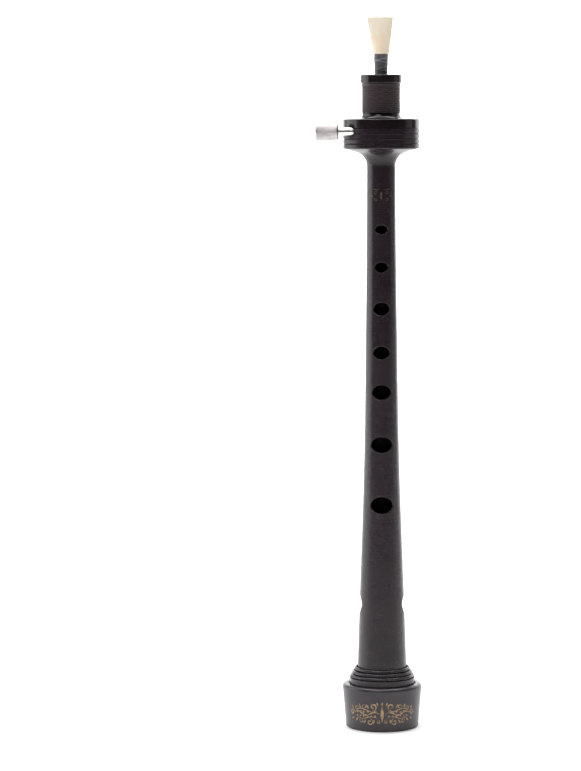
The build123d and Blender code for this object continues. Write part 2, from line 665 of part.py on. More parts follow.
with BuildPart() as ring_gear:
    with Locations((0, 0, SHAFT_Z)):
        add(helical_gear(RING_TEETH, RING_HELIX, RING_FACE, 180 / RING_TEETH - 90))
    with BuildSketch(Plane.XZ):
        with BuildLine():
            Polyline(
                (0, RING_HUB_BOTTOM),
                (RING_HUB_RADIUS, RING_HUB_BOTTOM),
                (RING_HUB_RADIUS, SHAFT_Z),
                (RING_BOSS_RADII[0], SHAFT_Z),
                (RING_BOSS_RADII[0], RING_TOP),
                (RING_BOSS_RADII[1], RING_BOSS_TOP),
                (0, RING_BOSS_TOP),
                close=True,
            )
        make_face()
    revolve(axis=Axis.Z)
    with Locations((0, 0, RING_BOSS_TOP)):
        Hole(RING_SLEEVE_RADIUS, depth=RING_BOSS_TOP - RING_HUB_BOTTOM)
    add(ring_sleeve.part)
save(ring_gear.part, "ring_gear")

# ---------------------------------------------------------------- reed carrier

with BuildPart() as reed_carrier:
    add(
        threaded_rod(
            CARRIER_RADIUS,
            CARRIER_CREST_RADIUS,
            THREAD_ROOT_WIDTH,
            THREAD_CREST_WIDTH,
            CARRIER_THREAD,
            (CARRIER_BOTTOM, CARRIER_TOP),
        )
    )
    chamfer(reed_carrier.edges().sort_by(Axis.Z)[-1], EDGE)
    chamfer(reed_carrier.edges().sort_by(Axis.Z)[0], EDGE)
    with Locations((0, 0, CARRIER_TOP)):
        CounterBoreHole(CARRIER_BORE_RADIUS, REED_SEAT_RADIUS, CARRIER_TOP - REED_SEAT_BOTTOM)
    for height in CARRIER_RING_HEIGHTS.values():
        groove_width = 2.3 * CARRIER_RING_SECTION
        with BuildSketch(Plane.XY.offset(height - groove_width / 2)):
            Circle(2 * CARRIER_RADIUS)
            Circle(CARRIER_RING_OUTER - 2 * CARRIER_RING_SECTION - CHANNEL_CLEARANCE, mode=Mode.SUBTRACT)
        extrude(amount=groove_width, mode=Mode.SUBTRACT)
    slot_bottom = KEY_BOTTOM - CARRIER_TRAVEL - KEY_CLEARANCE
    with BuildSketch(Plane.XY.offset(slot_bottom)):
        with Locations((0, KEY_OFFSET - KEY_RADIUS - KEY_CLEARANCE)):
            Rectangle(
                2 * (KEY_RADIUS + KEY_CLEARANCE),
                CARRIER_RADIUS,
                align=(Align.CENTER, Align.MIN),
            )
    extrude(amount=CARRIER_THREAD[0] - slot_bottom, mode=Mode.SUBTRACT)
save(reed_carrier.part, "reed_carrier")

for place, height in CARRIER_RING_HEIGHTS.items():
    with BuildPart() as carrier_o_ring:
        with Locations((0, 0, height)):
            Torus(CARRIER_RING_OUTER - CARRIER_RING_SECTION, CARRIER_RING_SECTION)
    save(carrier_o_ring.part, f"carrier_o_ring_{place}")

# ---------------------------------------------------------------- reed

with BuildPart() as reed_staple:
    with BuildSketch(Plane.XZ):
        with BuildLine():
            Polyline(
                (STAPLE_RADII[0], REED_SEAT_BOTTOM),
                (STAPLE_RADII[1], STAPLE_TOP),
                (STAPLE_RADII[1] - STAPLE_WALL, STAPLE_TOP),
                (STAPLE_RADII[0] - STAPLE_WALL, REED_SEAT_BOTTOM),
                close=True,
            )
        make_face()
    revolve(axis=Axis.Z)
save(reed_staple.part, "reed_staple")

with BuildPart() as reed_hemp:
    with BuildSketch(Plane.XZ):
        inner = STAPLE_RADII[1] - (STAPLE_RADII[1] - STAPLE_RADII[0]) / 2
        with BuildLine():
            Polyline(
                (HEMP_END_RADIUS, HEMP_TOP),
                (inner, HEMP_TOP),
                (inner, HEMP_BOTTOM),
                (HEMP_END_RADIUS, HEMP_BOTTOM),
            )
            ThreePointArc(
                (HEMP_END_RADIUS, HEMP_BOTTOM),
                (HEMP_RADIUS, (HEMP_BOTTOM + HEMP_TOP) / 2),
                (HEMP_END_RADIUS, HEMP_TOP),
            )
        make_face()
    revolve(axis=Axis.Z)
save(reed_hemp.part, "reed_hemp")

with BuildPart() as reed_binding:
    with BuildSketch(Plane.XZ):
        blade_low = BLADE_SECTIONS[0][1] + REED_GAP
        blade_high = BLADE_SECTIONS[1][1] + REED_GAP
        with BuildLine():
            Polyline(
                (STAPLE_RADII[1] + REED_GAP, BINDING_BOTTOM),
                (BINDING_RADII[0], BINDING_BOTTOM),
                (BINDING_RADII[1], BLADE_BOTTOM),
                (BINDING_RADII[2], BLADE_SHOULDER),
                (blade_high, BLADE_SHOULDER),
                (blade_low, BLADE_BOTTOM - REED_GAP),
                (STAPLE_RADII[1] + REED_GAP, BLADE_BOTTOM - REED_GAP),
                close=True,
            )
        make_face()
    revolve(axis=Axis.Z)
save(reed_binding.part, "reed_binding")

for name, side in (("reed_blade_front", -1), ("reed_blade_back", 1)):
    with BuildPart() as reed_blade:
        for height, half_width, depth, inner_half_width, inner_depth in BLADE_SECTIONS:
            middle = -tan(radians(REED_LEAN)) * max(0, height - BLADE_SHOULDER)
            with BuildSketch(Plane.XY.offset(height)):
                edge = side * REED_GAP / 2
                with BuildLine():
                    ThreePointArc((middle - half_width, edge), (middle, side * depth), (middle + half_width, edge))
                    Line((middle + half_width, edge), (middle + inner_half_width, edge))
                    ThreePointArc(
                        (middle + inner_half_width, edge),
                        (middle, side * inner_depth),
                        (middle - inner_half_width, edge),
                    )
                    Line((middle - inner_half_width, edge), (middle - half_width, edge))
                make_face()
        loft(ruled=True)
    save(reed_blade.part, name)
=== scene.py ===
from math import cos, floor, pi, radians, sin, sqrt

import bmesh
import bpy
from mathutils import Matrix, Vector


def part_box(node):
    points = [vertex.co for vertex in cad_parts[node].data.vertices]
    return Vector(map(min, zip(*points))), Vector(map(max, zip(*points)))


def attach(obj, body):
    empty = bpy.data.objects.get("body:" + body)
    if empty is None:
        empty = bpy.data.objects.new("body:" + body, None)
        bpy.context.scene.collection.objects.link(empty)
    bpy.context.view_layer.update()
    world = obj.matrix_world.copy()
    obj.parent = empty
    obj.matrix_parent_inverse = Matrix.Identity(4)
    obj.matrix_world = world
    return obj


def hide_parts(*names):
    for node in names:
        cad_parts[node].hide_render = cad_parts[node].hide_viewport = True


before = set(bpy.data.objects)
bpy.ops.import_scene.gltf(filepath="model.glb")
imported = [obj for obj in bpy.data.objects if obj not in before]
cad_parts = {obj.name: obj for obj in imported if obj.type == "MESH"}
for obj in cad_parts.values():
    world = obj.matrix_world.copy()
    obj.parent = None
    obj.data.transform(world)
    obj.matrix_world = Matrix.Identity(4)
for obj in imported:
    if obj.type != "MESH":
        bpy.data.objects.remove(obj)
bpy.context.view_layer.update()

MM = 0.001
scene = bpy.context.scene
scene.view_settings.view_transform = "Standard"
scene.view_settings.look = "None"

# ---------------------------------------------------------------- camera

CAMERA_DISTANCE = 1.7
CAMERA_HEIGHT = 0.35
CAMERA_PITCH = 5.07            # degrees down
CAMERA_YAW = 1.751             # degrees to the left, so that the chanter stands right of centre
CAMERA_ROLL = 0.25             # degrees, tips the top of the chanter slightly to the left
CAMERA_LENS = 137.9            # mm, on a 36 mm long side

camera_data = bpy.data.cameras.new("camera")
camera_data.lens = CAMERA_LENS
camera_data.sensor_width = 36
camera_data.clip_start = 0.02
camera = bpy.data.objects.new("camera", camera_data)
camera.location = (0, -CAMERA_DISTANCE, CAMERA_HEIGHT)
camera.rotation_euler = (radians(90 - CAMERA_PITCH), radians(CAMERA_ROLL), radians(CAMERA_YAW))
scene.collection.objects.link(camera)
scene.camera = camera


# ---------------------------------------------------------------- material tools


class Shader:
    """A new node material and a short way of adding linked nodes to it."""

    def __init__(self, name):
        self.material = bpy.data.materials.new(name)
        self.material.use_nodes = True
        self.tree = self.material.node_tree
        self.bsdf = self.tree.nodes["Principled BSDF"]
        self.coords = self.tree.nodes.new("ShaderNodeTexCoord").outputs["Object"]

    def link(self, source, target):
        self.tree.links.new(source, target)

    def node(self, kind, inputs=None, **settings):
        made = self.tree.nodes.new("ShaderNode" + kind)
        for key, value in settings.items():
            setattr(made, key, value)
        for key, value in (inputs or {}).items():
            if isinstance(value, bpy.types.NodeSocket):
                self.link(value, made.inputs[key])
            else:
                made.inputs[key].default_value = value
        return made

    def scaled(self, x, y, z):
        """Object coordinates stretched along each axis."""
        return self.node("Mapping", {"Vector": self.coords, "Scale": (x, y, z)}).outputs["Vector"]

    def noise(self, vector, scale, detail=3.0, roughness=0.55):
        inputs = {"Vector": vector, "Scale": scale, "Detail": detail, "Roughness": roughness}
        return self.node("TexNoise", inputs).outputs["Fac"]

    def spread(self, value, low, high, out_low=0.0, out_high=1.0):
        """Remap a value, clamped."""
        inputs = {"Value": value, "From Min": low, "From Max": high}
        inputs.update({"To Min": out_low, "To Max": out_high})
        return self.node("MapRange", inputs).outputs["Result"]

    def math(self, operation, first, second=0.0):
        return self.node("Math", {0: first, 1: second}, operation=operation).outputs[0]

    def blend(self, factor, first, second):
        """Mix two colours."""
        made = self.node("Mix", data_type="RGBA")
        for index, value in ((0, factor), (6, first), (7, second)):
            if isinstance(value, bpy.types.NodeSocket):
                self.link(value, made.inputs[index])
            else:
                made.inputs[index].default_value = value if index == 0 else (*value, 1)
        return made.outputs[2]

    def bump(self, height, distance, strength=1.0, below=None):
        inputs = {"Height": height, "Distance": distance, "Strength": strength}
        if below is not None:
            inputs["Normal"] = below
        return self.node("Bump", inputs).outputs["Normal"]

    def finish(self, color=None, roughness=None, normal=None, **constants):
        for key, value in (("Base Color", color), ("Roughness", roughness), ("Normal", normal)):
            if isinstance(value, bpy.types.NodeSocket):
                self.link(value, self.bsdf.inputs[key])
            elif value is not None:
                self.bsdf.inputs[key].default_value = (*value, 1) if key == "Base Color" else value
        for key, value in constants.items():
            self.bsdf.inputs[key.replace("_", " ")].default_value = value
        return self.material


def tinted(color, factor):
    return [factor * part for part in color]


MATT_EDGE = 0.0004             # metres over which the matt finish and its painted sheen begin and end
PAINTED_SHEEN_PALER = 3.4               # times the light colour: painted sheen on the cut band
MATT_ROUGHER = 0.24
BORE_SHADE_DEPTH = (0.0005, 0.0011)  # metres below the outside over which the bore and hole walls fade into painted shade
# painted shade: near-black colour for the inside of the bore and the hole walls, where shade falls
BORE_SHADE_COLOR = (0.0016, 0.0014, 0.0015)
WALL_ROUGHER = 0.45


def turned_plastic(name, dark, light, gloss=0.22, matt_sheen_band=None, shaded_bore=None):
    """Black acetal off the lathe: faint turning lines round the bore, fine dust and uneven polish.
    Between the two heights of the matt band argument, in metres, the surface is left as cut and
    duller, and coloured paler: painted sheen for the light off its cut grooves.
    The last argument lists straight lengths of the tube, each as (height, radius, height, radius)
    in metres: inside them the bore and the walls of the holes get painted shade, near black, and a
    rougher finish."""
    shader = Shader(name)
    cloud = shader.noise(shader.coords, 28, 3)
    hands = shader.noise(shader.coords, 75, 3)
    dust = shader.noise(shader.coords, 3800, 2)
    color = shader.blend(shader.spread(cloud, 0.36, 0.66), dark, light)
    color = shader.blend(shader.spread(dust, 0.68, 0.82, 0.0, 0.3), color, tinted(light, 2.2))
    turning = shader.noise(shader.scaled(1, 1, 4200), 1.0, 2)
    smear = shader.spread(hands, 0.3, 0.7, gloss - 0.02, gloss + 0.04)
    roughness = shader.math("ADD", smear, shader.spread(turning, 0.3, 0.7, -0.02, 0.02))
    if matt_sheen_band is not None:
        height = shader.node("SeparateXYZ", {"Vector": shader.coords}).outputs["Z"]
        low, high = matt_sheen_band
        above_low = shader.spread(height, low, low + MATT_EDGE)
        below_high = shader.spread(height, high, high + MATT_EDGE, 1.0, 0.0)
        cut = shader.math("MULTIPLY", above_low, below_high)
        # painted sheen: the cut band is coloured paler; the roughness added below is its matt
        # finish
        color = shader.blend(cut, color, tinted(light, PAINTED_SHEEN_PALER))
        roughness = shader.math("ADD", roughness, shader.math("MULTIPLY", cut, MATT_ROUGHER))
    # painted shade: below the outside of the listed lengths the bore and hole walls are coloured
    # near black, with a rougher finish
    if shaded_bore is not None:
        place = shader.node("SeparateXYZ", {"Vector": shader.coords}).outputs
        outside = 0.0
        for low, low_radius, high, high_radius in shaded_bore:
            fall = (low_radius - high_radius) / (high - low)
            fallen = shader.math("MULTIPLY", place["Z"], fall)
            line = shader.math("SUBTRACT", low_radius + fall * low, fallen)
            outside = shader.math("MAXIMUM", outside, line)
        across, along = (shader.math("POWER", place[axis], 2.0) for axis in "XY")
        from_axis = shader.math("SQRT", shader.math("ADD", across, along))
        depth = shader.math("SUBTRACT", outside, from_axis)
        inside = shader.spread(depth, *BORE_SHADE_DEPTH)
        # painted shade inside the bore and the holes
        color = shader.blend(inside, color, BORE_SHADE_COLOR)
        roughness = shader.math("ADD", roughness, shader.math("MULTIPLY", inside, WALL_ROUGHER))
    return shader.finish(color, roughness, shader.bump(turning, 0.000006, 0.3), IOR=1.46)


def machined_metal(name, color, shade, roughness, grain=(1, 1, 1), grain_scale=900, bump=0.000008):
    """Bare metal with tool marks stretched along one axis, and slightly uneven tarnish."""
    shader = Shader(name)
    marks = shader.noise(shader.scaled(*grain), grain_scale, 3)
    tarnish = shader.noise(shader.coords, 260, 4)
    spots = shader.noise(shader.coords, 1500, 2)
    mixed = shader.blend(shader.spread(tarnish, 0.38, 0.66), color, shade)
    mixed = shader.blend(shader.spread(spots, 0.66, 0.8, 0.0, 0.5), mixed, tinted(shade, 0.55))
    rough = shader.math(
        "ADD",
        shader.spread(marks, 0.3, 0.7, roughness - 0.07, roughness + 0.07),
        shader.spread(tarnish, 0.3, 0.7, -0.03, 0.05),
    )
    return shader.finish(mixed, rough, shader.bump(marks, bump, 0.6), Metallic=1.0)


def wound_thread(name, dark, light, fibre_scale=5200, gloss=0.55, sheen=0.25):
    """Waxed thread: twisted fibres along the windings and lighter worn strands."""
    shader = Shader(name)
    fibres = shader.noise(shader.scaled(1, 1, 0.35), fibre_scale, 3)
    strands = shader.noise(shader.scaled(0.12, 0.12, 1), 2300, 2)
    stain = shader.noise(shader.coords, 330, 3)
    color = shader.blend(shader.spread(strands, 0.36, 0.66), dark, light)
    color = shader.blend(shader.spread(stain, 0.45, 0.7, 0.0, 0.6), color, tinted(dark, 0.5))
    color = shader.blend(shader.spread(fibres, 0.6, 0.75, 0.0, 0.6), color, tinted(light, 1.7))
    roughness = shader.spread(fibres, 0.3, 0.7, gloss - 0.12, gloss + 0.12)
    normal = shader.bump(fibres, 0.00003, 0.8)
    return shader.finish(color, roughness, normal, Sheen_Weight=sheen)


SCRAPED_LENGTH = 0.012         # metres of the reed's blades that are scraped thin and pale


def cane(name):
    """Scraped reed cane: pale wood with long straight fibres, darker pores and warmer patches."""
    shader = Shader(name)
    fibres = shader.noise(shader.scaled(1, 1, 0.018), 3600, 4, 0.6)
    pores = shader.noise(shader.scaled(1, 1, 0.05), 7000, 2)
    patches = shader.noise(shader.scaled(1, 1, 0.55), 230, 3)
    height = shader.node("SeparateXYZ", {"Vector": shader.coords}).outputs["Z"]
    color = shader.blend(shader.spread(fibres, 0.34, 0.66), (0.95, 0.78, 0.58), (1.0, 0.9, 0.74))
    color = shader.blend(shader.spread(patches, 0.46, 0.68, 0.0, 0.55), color, (0.97, 0.7, 0.5))
    color = shader.blend(shader.spread(pores, 0.66, 0.76, 0.0, 0.4), color, (0.62, 0.42, 0.22))
    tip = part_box("reed_blade_front")[1].z
    scraped = shader.spread(height, tip - SCRAPED_LENGTH, tip, 0.0, 0.45)
    color = shader.blend(scraped, color, (1.0, 0.93, 0.78))
    fibre_bump = shader.bump(fibres, 0.00004, 0.7)
    return shader.finish(
        color,
        shader.spread(fibres, 0.3, 0.7, 0.5, 0.68),
        shader.bump(pores, 0.00003, 0.5, fibre_bump),
        Subsurface_Weight=0.12,
        Subsurface_Radius=(0.0012, 0.0007, 0.0004),
        Subsurface_Scale=1.0,
    )


def rubber(name):
    """Moulded seal rubber, a little dusty."""
    shader = Shader(name)
    grain = shader.noise(shader.coords, 5200, 3)
    dust = shader.noise(shader.coords, 700, 3)
    dusty = shader.spread(dust, 0.5, 0.72)
    color = shader.blend(dusty, (0.012, 0.012, 0.013), (0.05, 0.048, 0.047))
    roughness = shader.spread(dust, 0.3, 0.7, 0.32, 0.55)
    return shader.finish(color, roughness, shader.bump(grain, 0.00001, 0.4))


def gilt(name, gold, worn, cover=0.5):
    """Thin gold inlay, rubbed through in places to the dark ground."""
    shader = Shader(name)
    wear = shader.noise(shader.coords, 620, 4)
    grain = shader.noise(shader.coords, 6200, 2)
    color = shader.blend(shader.spread(wear, cover - 0.1, cover + 0.12), gold, worn)
    color = shader.blend(shader.spread(grain, 0.5, 0.72, 0.0, 0.5), color, tinted(gold, 0.5))
    roughness = shader.spread(wear, 0.3, 0.7, 0.36, 0.6)
    return shader.finish(color, roughness, shader.bump(grain, 0.00001, 0.5), Metallic=0.35)


# ---------------------------------------------------------------- geometry tools


def mesh_piece(name, vertices, faces, material, body, slot, smooth=True):
    """A new mesh object from points in millimetres, riding on a body."""
    mesh = bpy.data.meshes.new(name)
    mesh.from_pydata([Vector(point) * MM for point in vertices], [], faces)
    work = bmesh.new()
    work.from_mesh(mesh)
    bmesh.ops.recalc_face_normals(work, faces=work.faces)
    work.to_mesh(mesh)
    work.free()
    mesh.materials.append(material)
    for polygon in mesh.polygons:
        polygon.use_smooth = smooth
    piece = bpy.data.objects.new(name, mesh)
    scene.collection.objects.link(piece)
    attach(piece, body)
    return piece


def surface_of_rings(rings, segments, radius_at, place, close_ends=True):
    """Vertices and faces of a closed tube of rings. rings holds (station, radius, detail flag);
    radius_at(station, radius, angle, flag) gives the finished radius, and
    place(station, radius, angle) the point."""
    vertices = []
    for station, radius, flag in rings:
        for step in range(segments):
            angle = 2 * pi * step / segments
            vertices.append(place(station, radius_at(station, radius, angle, flag), angle))
    faces = []
    for ring in range(len(rings) - 1):
        for step in range(segments):
            after = (step + 1) % segments
            faces.append((
                ring * segments + step,
                ring * segments + after,
                (ring + 1) * segments + after,
                (ring + 1) * segments + step,
            ))
    if close_ends:
        for ring in (0, len(rings) - 1):
            centre = len(vertices)
            middle = Vector((0, 0, 0))
            for step in range(segments):
                middle += Vector(vertices[ring * segments + step])
            vertices.append(tuple(middle / segments))
            for step in range(segments):
                after = (step + 1) % segments
                faces.append((ring * segments + step, ring * segments + after, centre))
    return vertices, faces


def upright(station, radius, angle):
    """A point round the Z axis."""
    return (radius * cos(angle), radius * sin(angle), station)


RAY_START = -100               # mm, well in front of the object


def outside_radius(node, height):
    """Radius of a CAD node's outer surface at a height on its front, in millimetres."""
    start = Vector((0, RAY_START, height)) * MM
    return -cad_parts[node].ray_cast(start, Vector((0, 1, 0)))[1].y / MM


def between(points, station):
    """Linear interpolation in a list of (station, value)."""
    for (low, first), (high, second) in zip(points, points[1:]):
        if station <= high:
            return first + (second - first) * (station - low) / (high - low)
    return points[-1][1]


# ---------------------------------------------------------------- materials

# lengths of the tube whose bore and hole walls get painted shade
TUBE_LENGTHS = ((90, 120), (145, 180), (205, 300))     # heights in mm, clear of the finger holes
SHADED_BORE_LENGTHS = []
for tube_heights in TUBE_LENGTHS:
    straight_length = []
    for height in tube_heights:
        straight_length += [height * MM, outside_radius("chanter_body", height) * MM]
    SHADED_BORE_LENGTHS.append(straight_length)
BLACK = turned_plastic(
    "black_acetal", (0.0115, 0.0058, 0.009), (0.0175, 0.0098, 0.014), 0.27, shaded_bore=SHADED_BORE_LENGTHS
)
# painted light: the sole's copy of the black acetal is lighter, standing in for the floor's light
# on the lower part
SOLE_ACETAL_PAINTED_LIGHTER = turned_plastic("black_acetal_sole", (0.027, 0.02, 0.0255), (0.038, 0.03, 0.036), 0.3)
CAP_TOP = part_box("gear_cap")[1].z
COMB_BAND = (CAP_TOP - 0.0218, CAP_TOP - 0.0054)       # the grooved part of the tenon: matt, with painted sheen
BLACK_CAP = turned_plastic(
    "black_acetal_cap", (0.0085, 0.0052, 0.006), (0.014, 0.0092, 0.0105), 0.2, COMB_BAND
)
BLACK_CARRIER = turned_plastic(
    "black_acetal_carrier", (0.01, 0.008, 0.0085), (0.018, 0.015, 0.016), 0.3
)
KNOB_STEEL = machined_metal("knob_steel", (0.6, 0.57, 0.565), (0.49, 0.46, 0.455), 0.36)
SHAFT_STEEL = machined_metal(
    "shaft_steel", (0.8, 0.79, 0.78), (0.66, 0.64, 0.61), 0.2, (0.05, 1, 1), 2600
)
PINION_STEEL = machined_metal(
    "pinion_steel", (0.7, 0.64, 0.6), (0.52, 0.45, 0.4), 0.28, (1, 0.2, 0.2), 1800
)
ALUMINIUM = machined_metal(
    "gear_aluminium", (0.84, 0.84, 0.85), (0.68, 0.67, 0.67), 0.3, (1, 1, 6), 900
)
KEY_STEEL = machined_metal("key_steel", (0.62, 0.62, 0.62), (0.48, 0.47, 0.46), 0.3)
SCREW_BLACK = machined_metal("screw_black_steel", (0.055, 0.052, 0.052), (0.032, 0.03, 0.03), 0.38)
SET_SCREW_BLACK = machined_metal(
    "set_screw_black_steel", (0.07, 0.066, 0.064), (0.04, 0.037, 0.036), 0.4
)
SEAL = rubber("seal_rubber")
BRASS = machined_metal("staple_brass", (0.8, 0.58, 0.27), (0.6, 0.4, 0.17), 0.28, (1, 1, 0.1), 2200)
HEMP = wound_thread("waxed_hemp", (0.5, 0.36, 0.17), (0.74, 0.58, 0.33), 4200, 0.62, 0.3)
BINDING = wound_thread("binding_thread", (0.05, 0.043, 0.046), (0.12, 0.105, 0.115), 5200, 0.42)
# painted highlight: the crossing strands are coloured a lighter blue grey than the binding,
# standing in for the highlights on them
CROSSING_PAINTED_HIGHLIGHT = wound_thread("binding_crossing_painted_highlight", (0.1, 0.11, 0.14), (0.3, 0.33, 0.4), 5200, 0.4)
CANE = cane("cane")
GILT = gilt("gilt_ornament", (0.4, 0.265, 0.14), (0.15, 0.11, 0.08), 0.5)
GILT_FAINT = gilt("gilt_mark", (0.2, 0.145, 0.1), (0.06, 0.045, 0.036), 0.5)

NODE_MATERIALS = {
    "chanter_body": BLACK,
    "sole": SOLE_ACETAL_PAINTED_LIGHTER,
    "gear_cap": BLACK_CAP,
    "reed_carrier": BLACK_CARRIER,
    "tuning_knob": KNOB_STEEL,
    "pinion_shaft": SHAFT_STEEL,
    "helical_pinion": PINION_STEEL,
    "ring_gear": ALUMINIUM,
    "carrier_key": KEY_STEEL,
    "cap_screws": SCREW_BLACK,
    "knob_set_screw": SET_SCREW_BLACK,
    "shaft_o_ring": SEAL,
    "carrier_o_ring_upper": SEAL,
    "carrier_o_ring_lower": SEAL,
    "reed_staple": BRASS,
    "reed_hemp": HEMP,
    "reed_binding": BINDING,
    "reed_blade_front": CANE,
    "reed_blade_back": CANE,
}
for node_name, node_material in NODE_MATERIALS.items():
    for node_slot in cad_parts[node_name].material_slots:
        node_slot.material = node_material


# ---------------------------------------------------------------- finely turned beads and comb


LATHE_SEGMENTS = 240
MERGE_DISTANCE = 1e-7          # metres
SHARP_ANGLE = 30               # degrees; an edge sharper than this isn't shaded smooth
TURNED_PROUD = 0.012           # mm in front of the CAD surface


def plain_radius(station, radius, angle, flag):
    return radius


def lathe(name, outline, bore_radius, material, body, slot):
    """A fine closed ring turned round Z from its outer outline, a list of (radius, height)."""
    stations = [(height, radius + TURNED_PROUD, False) for radius, height in outline]
    stations += [(outline[-1][1], bore_radius, False), (outline[0][1], bore_radius, False)]
    stations.append(stations[0])
    surface = surface_of_rings(stations, LATHE_SEGMENTS, plain_radius, upright, close_ends=False)
    piece = mesh_piece(name, *surface, material, body, slot)
    work = bmesh.new()
    work.from_mesh(piece.data)
    bmesh.ops.remove_doubles(work, verts=work.verts, dist=MERGE_DISTANCE)
    bmesh.ops.recalc_face_normals(work, faces=work.faces)
    work.to_mesh(piece.data)
    work.free()
    piece.data.set_sharp_from_angle(angle=radians(SHARP_ANGLE))


# the collar over the sole: a plain band with three beads on it
BEAD_RADIUS = 1.02
BEAD_CENTRES = (17.5, 16.5, 15.2)
BEAD_STEPS = 12                # in half a turn
COLLAR_RADIUS = 18.8
COLLAR_BORE = 13.5             # inside the wall of the tube
COLLAR_SUNK = 0.8              # mm below the sole's top
BAND_HEIGHT = 3.45             # mm above the sole's top
sole_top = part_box("sole")[1].z / MM
band_top = sole_top + BAND_HEIGHT
collar_outline = [(COLLAR_RADIUS, sole_top - COLLAR_SUNK), (COLLAR_RADIUS, band_top)]
for index, bead_centre in enumerate(BEAD_CENTRES):
    bead_middle = band_top + BEAD_RADIUS * (2 * index + 1)
    for step in range(BEAD_STEPS + 1):
        turn = radians(-90 + 180 / BEAD_STEPS * step)
        bead_edge = bead_centre + BEAD_RADIUS * cos(turn)
        collar_outline.append((bead_edge, bead_middle + BEAD_RADIUS * sin(turn)))
lathe("turned_collar", collar_outline, COLLAR_BORE, BLACK, "chanter", "black_acetal")

# the tenon's comb of fine grooves
TENON_RADIUS = 11.1
COMB_BORE = 10.2               # inside the tenon's wall
COMB_BELOW_TOP = 21.4          # mm from the tenon's top down to the first groove
COMB_PITCH = 1.16
COMB_GROOVES = 13
COMB_DEPTH = 0.38
comb_bottom = CAP_TOP / MM - COMB_BELOW_TOP
comb_outline = [(TENON_RADIUS, comb_bottom)]
for groove in range(COMB_GROOVES):
    low = comb_bottom + groove * COMB_PITCH
    comb_outline += [
        (TENON_RADIUS - COMB_DEPTH, low + COMB_DEPTH),
        (TENON_RADIUS - COMB_DEPTH, low + COMB_PITCH - 2 * COMB_DEPTH),
        (TENON_RADIUS, low + COMB_PITCH - COMB_DEPTH),
        (TENON_RADIUS, low + COMB_PITCH),
    ]
lathe("turned_comb", comb_outline, COMB_BORE, BLACK_CAP, "cap", "black_acetal_cap")


# ---------------------------------------------------------------- knurled knob

knob_low, knob_high = (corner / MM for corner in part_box("tuning_knob"))
knob_axis = (knob_low + knob_high) / 2
knob_radius = (knob_high.z - knob_low.z) / 2
screw_low, screw_high = (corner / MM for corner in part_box("knob_set_screw"))
shaft_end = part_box("pinion_shaft")[0].x / MM

KNURLS = 38                    # grooves of each hand round the knob
KNURL_DEPTH = 0.22
KNURL_SAMPLES = 8              # points in one groove's pitch
KNURL_STEEPNESS = 1.25         # over 1 leaves small flats on top
KNURL_PITCH = 2 * pi * knob_radius / KNURLS
OUTER_BORDER = 1.5             # mm of plain metal outside the knurl, and inside it
INNER_BORDER = 1.3
BORDER_GROOVE = 0.05           # mm deep, where the knurl ends
BORE_RADIUS = 2.53
RECESS_RADIUS = 3.35           # round the shaft, in the knob's inner face
RECESS_DEPTH = 0.8
knurl_start = knob_low.x + OUTER_BORDER
knurl_end = knob_high.x - INNER_BORDER


def knurled_radius(station, radius, angle, knurled):
    if not knurled:
        return radius
    around = KNURLS * angle / (2 * pi)
    along = (station - knurl_start) / KNURL_PITCH
    height = 1.0
    for phase in (around + along, around - along):
        height = min(height, 2 * abs(phase - floor(phase + 0.5)))
    return radius - KNURL_DEPTH * (1 - min(1.0, KNURL_STEEPNESS * height))


def round_shaft(station, radius, angle):
    """A point round the knob's axis, which runs along X."""
    return (station, knob_axis.y + radius * cos(angle), knob_axis.z + radius * sin(angle))


# from a dimple in the middle of the outer face, over the rounded rim
knob_rings = [
    (knob_low.x + 0.25, 1.2, False),
    (knob_low.x + 0.25, 1.9, False),
    (knob_low.x, 2.15, False),
    (knob_low.x, knob_radius - 1.0, False),
    (knob_low.x + 0.12, knob_radius - 0.72, False),
    (knob_low.x + 0.75, knob_radius - 0.1, False),
    (knob_low.x + 0.95, knob_radius, False),
    (knurl_start - 0.25, knob_radius, False),
    (knurl_start - 0.1, knob_radius - BORDER_GROOVE, False),
]
knurl_steps = int((knurl_end - knurl_start) / KNURL_PITCH * KNURL_SAMPLES)
for step in range(knurl_steps + 1):
    knurl_station = knurl_start + (knurl_end - knurl_start) * step / knurl_steps
    knob_rings.append((knurl_station, knob_radius, True))
# over the inner edge into the recess, and down the bore to the end of the shaft
knob_rings += [
    (knurl_end + 0.1, knob_radius - BORDER_GROOVE, False),
    (knurl_end + 0.25, knob_radius, False),
    (knob_high.x - 0.8, knob_radius, False),
    (knob_high.x - 0.65, knob_radius - 0.06, False),
    (knob_high.x - 0.06, knob_radius - 0.72, False),
    (knob_high.x, knob_radius - 0.85, False),
    (knob_high.x, RECESS_RADIUS + 0.1, False),
    (knob_high.x - 0.1, RECESS_RADIUS, False),
    (knob_high.x - RECESS_DEPTH, RECESS_RADIUS, False),
    (knob_high.x - RECESS_DEPTH, BORE_RADIUS, False),
    (shaft_end, BORE_RADIUS, False),
]
knob_mesh = surface_of_rings(knob_rings, KNURLS * KNURL_SAMPLES, knurled_radius, round_shaft)
knob = mesh_piece("knurled_knob", *knob_mesh, KNOB_STEEL, "knob", "knob_steel")
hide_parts("tuning_knob")

